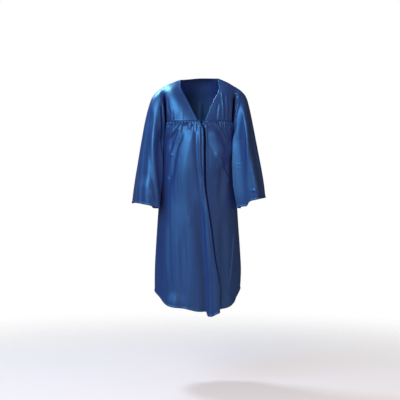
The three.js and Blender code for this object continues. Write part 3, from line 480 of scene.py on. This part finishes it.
leftFront = {
    "name": "frontLeft", "node": "front_left", "side": 1, "columns": 150, "rows": 260,
    "edge": underEdge,
    "hem": [(0, -776), (14, -786), (30, -812), (40, -831), (52, -840), (75, -843), (105, -843)],
    "tuckStart": 9, "tuckRun": 12,
    "gathers": [
        (118, 4, 35, 2.7, 3.8), (107, 5, 37, 3.2, 4.0), (98, 4, 27, 2.9, 3.4), (90, 5, 40, 3.5, 4.0),
        (81, 6, 32, 2.6, 3.6), (74, 6, 42, 3.0, 4.0), (56, 6, 30, 1.4, 4.0), (46, 4, 22, 1.0, 3.8),
        (36, 3, 27, 0.9, 4.0)],
    "folds": [
        # drag from the seam towards the armhole
        ([(24, -168), (44, -168), (57, -169), (65, -179), (69, -190), (86, -217), (103, -248)],
         (4, 6), 3.6, (0.05, 0.3)),
        ([(86, -190), (96, -212), (104, -232)], (6, 5), 2.2, (0.2, 0.4)),
        # fullness below the gathers, with drag lines towards the underarm
        ([(48, -182), (56, -214), (70, -252), (88, -308)], (26, 16), 10.0, (0.3, 0.3), 1),
        ([(8, -262), (56, -284), (108, -318)], (110, 96), 13.5, (0.7, 0.3)),
        ([(52, -276), (70, -304), (88, -326)], (9, 8), 2.8, (0.3, 0.4)),
        ([(88, -244), (97, -234), (107, -223)], (3.6, 3.6), 2.4, (0.3, 0.3)),
        ([(90, -284), (100, -292)], (7, 7), 2.5, (0.4, 0.4)),
        ([(72, -300), (99, -367), (119, -386)], (15, 8), 5.6, (0.2, 0.3)),
        # rolled edge in the gap
        ([(24, -176), (25, -300), (27, -400)], (4, 7), 2.6, (0.06, 0.3)),
        # slow folds of the skirt, the hem that kicks out and a short crease
        ([(88, -220), (84, -330), (70, -500)], (20, 22), -5.0, (0.25, 0.4)),
        ([(128, -545), (119, -665), (107, -780)], (6, 9), 3.6, (0.25, 0.3)),
        ([(80, -480), (86, -680), (84, -870)], (26, 26), -5.0, (0.3, 0)),
        ([(60, -842), (100, -826), (130, -796)], (22, 50), 8.0, (0.4, 0.3)),
        ([(129, -536), (139, -575)], (5, 6), 2.0, (0.3, 0.3)),
    ],
    "sheet": {"flat": (0.29, 0.74), "held": "gathered", "area": 0.151},
}


def sewFront(front):
    u, v = gridOf(front)
    side, edge = front["side"], front["edge"]
    sideHemZ = np.array(front["hem"][0][1], float)
    hemStart = float(sideAngle(-1, sideHemZ))
    hemEnd = float(angleAtX(side, sideHemZ, through(edge, 1, sideHemZ)))
    hemZ = through(front["hem"], 1, np.degrees(mixed(hemStart, hemEnd, u)))
    z = panelHeights(v, hemZ, 1 - ease(*frontShape["seamTuckEnds"], u))
    start = sideAngle(-1, z)
    points = onBody(side, -1, z, mixed(start, angleAtX(side, z, through(edge, 1, z)), u))
    outward = outwardOf(points, -1)
    x = points[:, :, 0]
    lift = gatherLift(x, z, seam["yokeZ"], front["gathers"]) + foldLift(x, z, front["folds"])
    lift += ripples(x, z, frontShape["ripples"])
    lift *= ease(0, frontShape["sideFade"], u)
    fromOver = through(overEdge, 1, z) - x
    if side < 0:
        run = front["liftRun"]
        lift += through(overlap, 2, z) * (1 - ease(0, run, fromOver - run / 2))
    else:
        lift -= through(overlap, 1, z) * ease(0, front["tuckRun"], fromOver + front["tuckStart"])
    lift += tuckedIn(z, seamTuck["frontLean"])
    points = drawnIn(points + lift[:, :, None] * outward, runLength(points, 1))
    if side < 0:  # the lower corner hangs in a step below the rest of the hem
        flap = ease(front["flapStepX"] - front["flapStepRun"], front["flapStepX"], x)
        corner = 1 - front["cornerRise"] * (1 - ease(0, front["liftRun"], fromOver))
        points[:, :, 2] -= front["flapDip"] * flap * corner * ease(front["flapZ"][0], front["flapZ"][1], z)
    toHem = runLength(points[::-1], 0)[::-1]
    toFree = runLength(points[:, ::-1], 1)[:, ::-1]
    fromEdge = np.minimum(toHem, toFree)
    alongEdge = np.where(toHem < toFree, runLength(points, 1), runLength(points, 0))
    points = points + hemShape(fromEdge, alongEdge)[:, :, None] * outward
    sewPiece(front["name"], front["node"], points, outward, fromEdge, alongEdge, front["sheet"])


sewFront(rightFront)
sewFront(leftFront)

# back: gathers spread evenly, then each a little out of place and of its own length and height
back = {
    "name": "backPanel", "node": "back", "columns": 190, "rows": 250,
    "sideFade": 0.06, "ripples": [(70, 260, 1.1, 14), (24, 70, 0.12, 19)],
    "hem": [(0, -784), (25, -800), (50, -832), (90, -846), (130, -832), (155, -798), (180, -776)],
    "gatherCount": 18, "gatherReach": 96, "gatherStray": 1.8, "gatherFan": 0.06,
    "gatherLength": (50, 26), "gatherHeight": (3.4, 1.1), "gatherWidth": 5.6,
    "gatherSteps": (3.1, 2.3, 1.7),  # radians from one gather to the next, for place, length and height
    "folds": [
        ([(-72, -172), (-92, -420), (-112, -880)], (26, 24), 8.0, (0.1, 0)),
        ([(-44, -182), (-56, -420), (-66, -880)], (20, 22), -7.0, (0.15, 0)),
        ([(-16, -172), (-20, -420), (-26, -880)], (22, 20), 8.0, (0.1, 0)),
        ([(14, -186), (16, -420), (18, -880)], (20, 20), -8.0, (0.15, 0)),
        ([(44, -172), (54, -420), (62, -880)], (22, 24), 8.0, (0.1, 0)),
        ([(80, -186), (98, -420), (110, -880)], (22, 20), -6.0, (0.15, 0)),
        ([(-100, -190), (-116, -300), (-124, -420)], (9, 10), 3.5, (0.2, 0.5)),
        ([(98, -190), (114, -290), (124, -400)], (9, 10), 3.5, (0.2, 0.5)),
    ],
    "sheet": {"flat": (0.50, 0.69), "held": "gathered", "area": 0.292},
}


def backGathers(back):
    count, reach = back["gatherCount"], back["gatherReach"]
    (length, longer), (height, higher) = back["gatherLength"], back["gatherHeight"]
    placeStep, lengthStep, heightStep = back["gatherSteps"]
    seats = np.linspace(-reach, reach, count) + back["gatherStray"] * np.sin(placeStep * np.arange(count))
    return [(x, back["gatherFan"] * x, length + longer * abs(np.sin(lengthStep * k)),
             height + higher * np.sin(heightStep * k), back["gatherWidth"]) for k, x in enumerate(seats)]


def sewBack(back):
    u, v = gridOf(back)
    hemStart = float(sideAngle(1, np.array(back["hem"][0][1], float)))
    hemZ = through(back["hem"], 1, np.degrees(mixed(hemStart, np.pi - hemStart, u)))
    z = panelHeights(v, hemZ)
    start = sideAngle(1, z)
    points = onBody(-1, 1, z, mixed(start, np.pi - start, u))
    outward = outwardOf(points, 1)
    x = points[:, :, 0]
    lift = gatherLift(x, z, seam["yokeZ"], backGathers(back)) + foldLift(x, z, back["folds"])
    lift += ripples(x, z, back["ripples"])
    lift *= ease(0, back["sideFade"], np.minimum(u, 1 - u))
    toArmhole = np.minimum(runLength(points, 1), runLength(points[:, ::-1], 1)[:, ::-1])
    lift += tuckedIn(z, seamTuck["backLean"])
    points = drawnIn(points + lift[:, :, None] * outward, toArmhole)
    fromEdge = runLength(points[::-1], 0)[::-1]
    alongEdge = runLength(points, 1)
    points = points + hemShape(fromEdge, alongEdge)[:, :, None] * outward
    sewPiece(back["name"], back["node"], points, outward, fromEdge, alongEdge, back["sheet"])


sewBack(back)

# yokes: a patch between the shoulder seam, the neck, the armhole and the gathered seam
yokeShape = {"ripples": [(46, 70, 0.35, 24)], "neckHem": 0.2, "seamEdge": 0.5, "seamEdgeRun": (3.0, 6.5)}
yokeRight = {
    "name": "yokeFrontRight", "node": "yoke_front_right", "side": -1, "columns": 84, "rows": 76,
    "neck": [(-67, -44, -38), (-39, -82, -96)], "pointX": 7.2, "pointGap": 25, "bulge": 5,
    "folds": [
        ([(-106, -104), (-100, -166)], (5, 5), 0.7, (0.4, 0.1)),
        ([(-91, -116), (-88, -166)], (5, 5), 0.6, (0.4, 0.1)),
        ([(-79, -122), (-78, -166)], (4, 5), 0.6, (0.4, 0.1)),
        ([(-60, -128), (-61, -166)], (5, 5), 0.5, (0.4, 0.1)),
        ([(-118, -70), (-112, -120), (-96, -150)], (8, 9), -1.6, (0.3, 0.4)),
    ],
    "sheet": {"flat": (0.19, 0.21), "held": "hung", "area": 0.021},
}
yokeLeft = {
    "name": "yokeFrontLeft", "node": "yoke_front_left", "side": 1, "columns": 84, "rows": 76,
    "neck": [(70, -46, -48), (49, -82, -94)], "pointX": 7.2, "pointGap": 25, "bulge": 5,
    "folds": [
        ([(80, -46), (85, -110), (87, -166)], (5, 5), 2.0, (0.2, 0.1)),
        ([(97, -60), (101, -120), (99, -166)], (5, 5), 2.0, (0.2, 0.1)),
        ([(110, -72), (114, -112), (112, -166)], (5, 5), 1.8, (0.2, 0.1)),
        ([(68, -95), (60, -166)], (8, 7), -2.2, (0.3, 0.1)),
        ([(91, -58), (92, -166)], (4, 4), -1.2, (0.3, 0.1)),
    ],
    "sheet": {"flat": (0.175, 0.21), "held": "hung", "area": 0.020},
}
yokeBack = {
    "name": "yokeBack", "node": "yoke_back", "columns": 150, "rows": 70,
    "neck": [(-47, 46, 2), (0, 62, 8), (47, 46, 6)], "bulge": 5, "bladeBulge": 17,
    "neckShare": 0.5, "neckEnds": (0.24, 0.26), "hemless": 40,
    "easePasses": 300, "easeShare": 0.25, "easeTop": 0.3, "easeBottom": 0.15,
    "folds": [
        ([(-104, -80), (-96, -166)], (9, 10), 1.6, (0.4, 0.1)),
        ([(-58, -96), (-56, -166)], (8, 8), 1.2, (0.4, 0.1)),
        ([(6, -60), (4, -166)], (12, 12), -1.4, (0.4, 0.1)),
        ([(60, -96), (58, -166)], (8, 8), 1.2, (0.4, 0.1)),
        ([(104, -84), (98, -166)], (9, 10), 1.6, (0.4, 0.1)),
    ],
    "sheet": {"flat": (0.39, 0.22), "held": "hung", "area": 0.065},
}


def onShoulder(side, facing, share):
    neckZ = seam["neckRightZ"] if side < 0 else seam["neckLeftZ"]
    x = side * mixed(seam["neckX"], seam["tipX"], share)
    z = mixed(neckZ, seam["tipZ"], share) + seam["shoulderBow"] * np.sin(np.pi * share)
    return np.stack([x, facing * seam["gap"] / 2 + 0 * share, z], axis=-1)


def alongPath(points, share, count=240):
    line = smoothPath(points, count)
    place = np.linspace(0, 1, count)
    return np.stack([np.interp(share, place, line[:, k]) for k in range(3)], axis=-1)


def patch(top, bottom, first, last, u, v):  # a smooth sheet held on its four edges
    edge = np.array([0.0, 1.0])
    t, b = top(edge), bottom(edge)
    u3, v3 = u[:, :, None], v[:, :, None]
    return (top(u) * (1 - v3) + bottom(u) * v3 + first(v) * (1 - u3) + last(v) * u3
            - t[0] * (1 - u3) * (1 - v3) - t[1] * u3 * (1 - v3) - b[0] * (1 - u3) * v3 - b[1] * u3 * v3)


def armholeSide(side, facing):
    def at(v):
        points = onArmhole(side, facing, mixed(seam["tipZ"], seam["yokeZ"], v))
        points[..., 2] += v * seam["gap"] / 2
        return points
    return at


def finishYoke(yoke, points, outward, fromEdge, alongEdge, toArmhole):
    x, z = points[:, :, 0], points[:, :, 2]
    lift = foldLift(x, z, yoke["folds"]) + ripples(x, z, yokeShape["ripples"])
    # the turned seam edge stands proud of the gathers
    lift += yokeShape["seamEdge"] * (1 - ease(*yokeShape["seamEdgeRun"], z - seam["yokeZ"]))
    lift += yokeShape["neckHem"] * hemShape(fromEdge, alongEdge)
    points = drawnIn(points + lift[:, :, None] * outward, toArmhole)
    sewPiece(yoke["name"], yoke["node"], points, outward, fromEdge, alongEdge, yoke["sheet"])


def sewFrontYoke(yoke):
    u, v = gridOf(yoke)
    side, seamZ = yoke["side"], np.array(seam["yokeZ"], float)
    start = float(angleAtX(side, seamZ, yoke["pointX"] + side * yoke["pointGap"] / 2))
    end = float(sideAngle(-1, seamZ))

    def top(share):
        return onShoulder(side, -1, share)

    def bottom(share):
        return onBody(side, -1, seamZ, mixed(start, end, share)) + np.array([0, 0, seam["gap"] / 2])

    def neck(share):
        return alongPath([top(np.array(0.0)), *np.array(yoke["neck"], float), bottom(np.array(0.0))], share)

    points = patch(top, bottom, neck, armholeSide(side, -1), u, v)
    points[:, :, 1] -= yoke["bulge"] * np.sin(np.pi * u) * np.sin(np.pi * v)
    fromEdge, alongEdge = runLength(points, 1), runLength(points, 0)
    toArmhole = runLength(points[:, ::-1], 1)[:, ::-1]
    finishYoke(yoke, points, outwardOf(points, -1), fromEdge, alongEdge, toArmhole)


def sewBackYoke(yoke):
    u, v = gridOf(yoke)
    seamZ = np.array(seam["yokeZ"], float)
    start = float(sideAngle(1, seamZ))
    seamShare = (1 - yoke["neckShare"]) / 2
    neck = [onShoulder(-1, 1, np.array(0.0)), *np.array(yoke["neck"], float), onShoulder(1, 1, np.array(0.0))]

    def top(share):  # right shoulder seam, neck, left shoulder seam
        right = onShoulder(-1, 1, np.clip(1 - share / seamShare, 0, 1))
        left = onShoulder(1, 1, np.clip(1 - (1 - share) / seamShare, 0, 1))
        middle = alongPath(neck, np.clip((share - seamShare) / yoke["neckShare"], 0, 1))
        onRight, onLeft = (share <= seamShare)[..., None], (share >= 1 - seamShare)[..., None]
        return np.where(onRight, right, np.where(onLeft, left, middle))

    def bottom(share):
        return onBody(-1, 1, seamZ, mixed(start, np.pi - start, share)) + np.array([0, 0, seam["gap"] / 2])

    points = patch(top, bottom, armholeSide(-1, 1), armholeSide(1, 1), u, v)
    free = ease(0, yoke["easeTop"], v) * ease(0, yoke["easeBottom"], 1 - v)
    soft = yoke["easeShare"] * free[:, 1:-1, None]
    for _ in range(yoke["easePasses"]):  # ease out the kinks that run down from the ends of the neck
        points[:, 1:-1] += soft * (points[:, 2:] + points[:, :-2] - 2 * points[:, 1:-1])
    blades = yoke["bulge"] * np.sin(np.pi * u) + yoke["bladeBulge"] * np.sin(2 * np.pi * u) ** 2
    points[:, :, 1] += blades * np.sin(np.pi * v)
    atNeck = ease(*yoke["neckEnds"], np.minimum(u, 1 - u))  # the shoulder seams have no hem
    fromEdge, alongEdge = runLength(points, 0) + yoke["hemless"] * (1 - atNeck), runLength(points, 1)
    toArmhole = np.minimum(alongEdge, runLength(points[:, ::-1], 1)[:, ::-1])
    finishYoke(yoke, points, outwardOf(points, 1), fromEdge, alongEdge, toArmhole)


sewFrontYoke(yokeRight)
sewFrontYoke(yokeLeft)
sewBackYoke(yokeBack)

# sleeves: rings from the armhole to the cuff, each with a row of
# share of the length, outer x and z, inner x and z, half depth, forward shift, swing, reach of the front fold
sleeveRight = {
    "name": "sleeveRight", "node": "sleeve_right", "side": -1, "columns": 160, "rows": 175,
    "rings": [
        (0, 131, -31, 133, -228, 60, 0, 0, 0), (0.09, 155.5, -51, 137.5, -238, 63, 2, 0, 6),
        (0.18, 174.5, -75, 138, -249, 66, 5, 0, 10), (0.28, 188, -114, 138.5, -264, 68, 10, 0, 12),
        (0.38, 199, -161, 139, -286, 70, 15, 0, 12), (0.5, 209.5, -218, 141, -318, 72, 20, 3, 13),
        (0.62, 220, -278, 144, -356, 74, 25, 8, 13), (0.75, 230, -345, 148, -402, 76, 31, 14, 13),
        (0.88, 237, -408, 151.5, -445, 77, 37, 20, 14), (1, 242, -460, 154.5, -480, 77, 41, 24, 14)],
    "frontFold": (146, 36, 14),  # degrees round the ring, half width, drift by the cuff
    "longFolds": [  # degrees round the ring, drift by the cuff, half width, height, start along the sleeve
        (58, 0, 42, -10, 0.08), (100, 32, 26, 9, 0.1), (130, 26, 22, -11, 0.06),
        (250, 0, 24, 6, 0.2), (290, 0, 20, -5, 0.3), (325, 0, 22, 4, 0.4)],
    "lobes": [(250, 70, -9, 0.35)],  # middle, half width, drop, share of the rise at the edge
    "folds": [
        # roll and groove beside the armhole
        ([(-129, -90), (-128.5, -160), (-129, -215), (-129, -268)], (5, 5), 4.0, (0.15, 0.3)),
        ([(-139, -98), (-138, -160), (-138, -214), (-134, -258), (-130, -294)], (6, 5), -13.0, (0.12, 0.2)),
        ([(-168, -90), (-176, -150), (-180, -205)], (12, 10), 1.4, (0.25, 0.5)),
        # broad face above the cuff
        ([(-206, -352), (-213, -410), (-219, -468)], (14, 44), 9.0, (0.45, 0.02), 1),
        ([(-176, -404), (-166, -436), (-154, -458)], (9, 9), 2.4, (0.35, 0.3)),
    ],
    "backFolds": [
        ([(-150, -96), (-156, -220), (-160, -330)], (9, 9), 3.0, (0.2, 0.5)),
        ([(-172, -120), (-184, -260), (-192, -400)], (10, 10), -3.0, (0.2, 0.4)),
    ],
    "sheet": {"flat": (0.525, 0.46), "held": "hung", "area": 0.161},
}
sleeveLeft = {
    "name": "sleeveLeft", "node": "sleeve_left", "side": 1, "columns": 160, "rows": 175,
    "rings": [
        (0, 131, -31, 133, -228, 60, 0, 0, 0), (0.09, 156, -51, 136, -238, 63, 5, 2, 5),
        (0.18, 172.5, -74, 137, -249, 66, 12, 4, 15), (0.28, 183.5, -112, 136.5, -264, 68, 18, 6, 23),
        (0.38, 193.5, -161, 136.5, -286, 70, 21, 6, 26), (0.5, 203.5, -218, 137, -318, 72, 24, 6, 29),
        (0.62, 214.5, -278, 139, -356, 74, 27, 6, 31), (0.75, 227, -345, 142, -400, 76, 30, 6, 31.5),
        (0.88, 235, -396, 146, -434, 77, 33, 6, 28), (1, 240, -441, 150, -463, 77, 34, 6, 25)],
    "frontFold": (124, 44, 0),
    "longFolds": [
        (20, 0, 24, 4, 0.3), (45, 0, 18, -4, 0.25), (76, 0, 26, 17, 0.1), (112, 0, 24, -8, 0.12),
        (240, 0, 24, 6, 0.2), (278, 0, 20, -6, 0.25), (318, 0, 22, 4, 0.35)],
    "lobes": [(136, 48, 17, 0.12), (250, 68, -9, 0.35)],
    "folds": [
        ([(170, -96), (172, -220), (174, -400)], (10, 10), 4.0, (0.15, 0.4)),
        # faint wrinkles at the elbow, and one above the cuff
        ([(128, -318), (156, -324)], (5, 5), 0.45, (0.3, 0.3)),
        ([(130, -330), (154, -338)], (5, 5), 0.35, (0.3, 0.3)),
        ([(138, -240), (162, -246)], (5, 5), 0.4, (0.3, 0.3)),
        ([(186, -412), (228, -426)], (6, 7), 3.0, (0.3, 0.4)),
        # roll and groove beside the armhole
        ([(147, -78), (138, -124), (132, -170)], (6, 6), 3.0, (0.25, 0.35)),
        ([(138, -70), (131, -112), (126, -150)], (6, 5), -12.0, (0.2, 0.3)),
    ],
    "backFolds": [
        ([(150, -96), (156, -220), (160, -330)], (9, 9), 3.0, (0.2, 0.5)),
        ([(172, -120), (184, -260), (192, -400)], (10, 10), -3.0, (0.2, 0.4)),
    ],
    "sheet": {"flat": (0.525, 0.44), "held": "hung", "area": 0.164},
}
sleeveShape = {  # places run from 0 at the armhole to 1 at the cuff
    "length": 400, "crowding": 1.3, "square": 2.2, "squareFull": 0.3, "cuffSquare": 2.8, "cuffFrom": 0.4,
    "armholeFade": 0.2, "offset": 1.35, "seamFade": (0.005, 0.06), "puff": 6.0, "puffEnds": (0.08, 0.3),
    "foldRise": 0.25, "foldStop": 1.1, "driftFrom": 0.4, "frontDriftFull": 0.7, "lobeFrom": 0.55,
    "facing": (0.05, 0.4),  # how far the cloth faces the front or the back where its folds start and are full
    "ripples": [(110, 260, 0.7, 34)],
    "insideRows": 5, "insideDepth": 4.5, "insideShrink": 2.2,
}


def nearFold(degrees, middle, halfWidth):
    share = np.abs((degrees - middle + 540) % 360 - 180) / halfWidth
    return np.where(share < 1, 0.5 + 0.5 * np.cos(np.pi * np.minimum(share, 1)), 0)


def sewSleeve(sleeve):
    side, rings, look = sleeve["side"], sleeve["rings"], sleeveShape
    even = np.linspace(0, 1, sleeve["rows"] + 1)
    fromArmhole, fromCuff = even ** look["crowding"], (1 - even) ** look["crowding"]
    rows = np.concatenate([np.linspace(-1, -1 / look["insideRows"], look["insideRows"]),
                           fromArmhole / (fromArmhole + fromCuff)])  # closer together at both ends
    u, along = np.meshgrid(np.linspace(0, 1, sleeve["columns"] + 1), rows)
    t, inside = np.maximum(along, 0), np.maximum(-along, 0)
    turn = (0.5 + u) % 1  # the underarm seam is on the inner side
    degrees = 360 * turn
    outX, outZ, inX, inZ, depth, shift, swing, fold = (through(rings, k, t) for k in range(1, 9))
    square = mixed(look["square"], look["cuffSquare"], ease(look["cuffFrom"], 1, t))
    power = 2 / mixed(2, square, ease(0, look["squareFull"], t))
    across, forward = powered(np.cos(2 * np.pi * turn), power), powered(np.sin(2 * np.pi * turn), power)
    reach = np.ones_like(t)
    for middle, drift, halfWidth, height, begin in sleeve["longFolds"]:
        run = (t - begin) / (look["foldStop"] - begin)
        middle = middle + drift * ease(look["driftFrom"], 1, t)
        reach += height * ease(0, look["foldRise"], run) * nearFold(degrees, middle, halfWidth) / depth
    reachX = (outX - inX) / 2
    halfX = np.sign(reachX) * np.sqrt(np.maximum(reachX**2 - swing**2, 0))
    x = side * ((outX + inX) / 2 + reach * (halfX * across - swing * forward))
    y = -shift - reach * depth * forward
    z = (outZ + inZ) / 2 + reach * across * (outZ - inZ) / 2
    foldAt, foldWidth, foldDrift = sleeve["frontFold"]
    foldAt = foldAt + foldDrift * ease(look["driftFrom"], look["frontDriftFull"], t)
    x = x - side * fold * nearFold(degrees, foldAt, foldWidth)
    # the first ring follows the armhole's own line
    middleZ, halfHigh = (seam["tipZ"] + seam["underarmZ"]) / 2, (seam["tipZ"] - seam["underarmZ"]) / 2
    rimZ = middleZ + halfHigh * np.cos(2 * np.pi * turn)
    rimShare = (rimZ - seam["underarmZ"]) / (seam["tipZ"] - seam["underarmZ"])
    straight = mixed(rings[0][3], rings[0][1], rimShare)
    rimX = side * np.where(forward > 0, onArmhole(side, -1, rimZ)[..., 0], onArmhole(side, 1, rimZ)[..., 0])
    x = x + side * (look["offset"] + (rimX - straight) * (1 - ease(0, look["armholeFade"], t)))
    for middle, halfWidth, drop, edge in sleeve["lobes"]:
        hang = drop * ease(0, edge, nearFold(degrees, middle, halfWidth))
        z = z - hang * ease(look["lobeFrom"], 1, t)
    # the seam allowance runs in through the armhole, inside the body
    x = x - side * look["insideDepth"] * inside
    y = y * (1 - look["insideShrink"] * inside / seam["armholeDepth"])
    z = z - np.cos(2 * np.pi * turn) * look["insideShrink"] * inside
    points = np.stack([x, y, z], axis=-1)
    outward = outwardOf(points, ring=True)
    if (outward[:, :, 1] * forward).sum() > 0:
        outward = -outward
    front, behind = ease(*look["facing"], -outward[:, :, 1]), ease(*look["facing"], outward[:, :, 1])
    lift = front * foldLift(x, z, sleeve["folds"]) + behind * foldLift(x, z, sleeve["backFolds"])
    lift += ripples(degrees * np.sin(np.pi * turn) ** 2, z, look["ripples"])
    lift += look["puff"] * np.abs(forward) * (1 - ease(*look["puffEnds"], t))  # fullness beside the armhole
    lift *= ease(*look["seamFade"], t)
    points = drawnIn(points + lift[:, :, None] * outward, look["length"] * t)
    fromEdge, alongEdge = runLength(points[::-1], 0)[::-1], runLength(points, 1)
    points = points + hemShape(fromEdge, alongEdge)[:, :, None] * outward
    points[:, -1] = points[:, 0]
    sewPiece(sleeve["name"], sleeve["node"], points, outward, fromEdge, alongEdge, sleeve["sheet"], ring=True)


sewSleeve(sleeveRight)
sewSleeve(sleeveLeft)

# the hook and the eye keep their own meshes
for name in ("hook", "eye"):
    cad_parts[name].data.materials.clear()
    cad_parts[name].data.materials.append(enamel)
print("closure enamelled")

# studio: a bluish soft box high on the left makes the shine, a warm fill and a bounce from the right open
# the shadows, a small rim lamp behind lights the shoulder, and the floor is pale paper
studio = {
    "floorZ": -1128, "floorSize": 12000, "fadeFrom": 700, "fadeTo": 2600,
    "floorColour": "#dfe9ff", "floorRoughness": 0.9, "floorGlow": 0.25,
    "aim": (0, 0, -350),
    "key": {"place": (-1450, -1600, 950), "size": 1500, "power": 28, "colour": "#c4e2ff"},
    "fill": {"place": (-800, -2900, 300), "size": 1500, "power": 64, "colour": "#ffd09c"},
    "rim": {"place": (-800, 700, 1100), "size": 400, "power": 20, "colour": "#ffffff"},
    "bounce": {"place": (2200, -1900, 0), "size": 1500, "power": 35, "colour": "#ffb478"},
    "surround": 0.05,
}
for name in ("key", "fill", "rim", "bounce"):
    lamp = bpy.data.lights.new(name, "AREA")
    lamp.size, lamp.energy = studio[name]["size"] * mm, studio[name]["power"]
    lamp.color = linear(studio[name]["colour"])[:3]
    holder = bpy.data.objects.new(name, lamp)
    bpy.context.scene.collection.objects.link(holder)
    holder.location = Vector(studio[name]["place"]) * mm
    towards = Vector(studio["aim"]) * mm - holder.location
    holder.rotation_euler = towards.to_track_quat("-Z", "Y").to_euler()
    holder.visible_glossy = name in ("key", "rim")  # a glint of the others would be flat

floorMesh = bmesh.new()
bmesh.ops.create_grid(floorMesh, x_segments=1, y_segments=1, size=studio["floorSize"] * mm / 2)
bmesh.ops.translate(floorMesh, verts=floorMesh.verts, vec=(0, 0, studio["floorZ"] * mm))
floor = bpy.data.objects.new("floor", bpy.data.meshes.new("floor"))
floorMesh.to_mesh(floor.data)
floorMesh.free()
bpy.context.scene.collection.objects.link(floor)
paper = bpy.data.materials.new("studioPaper")  # matt white paper that runs out into the white behind it
paper.use_nodes = True
tree = paper.node_tree
matt = tree.nodes["Principled BSDF"]
matt.inputs["Base Color"].default_value = linear(studio["floorColour"])
matt.inputs["Roughness"].default_value = studio["floorRoughness"]
matt.inputs["Emission Color"].default_value = (1, 1, 1, 1)
matt.inputs["Emission Strength"].default_value = studio["floorGlow"]  # lit from below, as a light table is
spot = addNode(tree, "ShaderNodeVectorMath", {"operation": "LENGTH"}, {}, {
    0: addNode(tree, "ShaderNodeTexCoord").outputs["Object"]})
fade = addNode(tree, "ShaderNodeMapRange", {"interpolation_type": "SMOOTHSTEP"}, {
    "From Min": studio["fadeFrom"] * mm, "From Max": studio["fadeTo"] * mm}, {"Value": spot.outputs["Value"]})
clear = addNode(tree, "ShaderNodeBsdfTransparent")
runOut = addNode(tree, "ShaderNodeMixShader", {}, {}, {
    0: fade.outputs[0], 1: matt.outputs[0], 2: clear.outputs[0]})
tree.links.new(runOut.outputs[0], tree.nodes["Material Output"].inputs["Surface"])
floor.data.materials.append(paper)
floor.visible_glossy = False  # its shine would wash out the folds

world = bpy.data.worlds.new("studio")
bpy.context.scene.world = world
world.use_nodes = True
sky = world.node_tree
sky.nodes.clear()
ray = addNode(sky, "ShaderNodeLightPath")
seen = addNode(sky, "ShaderNodeBackground", {}, {"Color": (1, 1, 1, 1), "Strength": 1.0})
around = addNode(sky, "ShaderNodeBackground", {}, {"Color": (1, 1, 1, 1), "Strength": studio["surround"]})
both = addNode(sky, "ShaderNodeMixShader", {}, {}, {
    0: ray.outputs["Is Camera Ray"], 1: around.outputs[0], 2: seen.outputs[0]})
addNode(sky, "ShaderNodeOutputWorld", {}, {}, {"Surface": both.outputs[0]})
bpy.context.scene.view_settings.view_transform = "Standard"
print("studio lit")
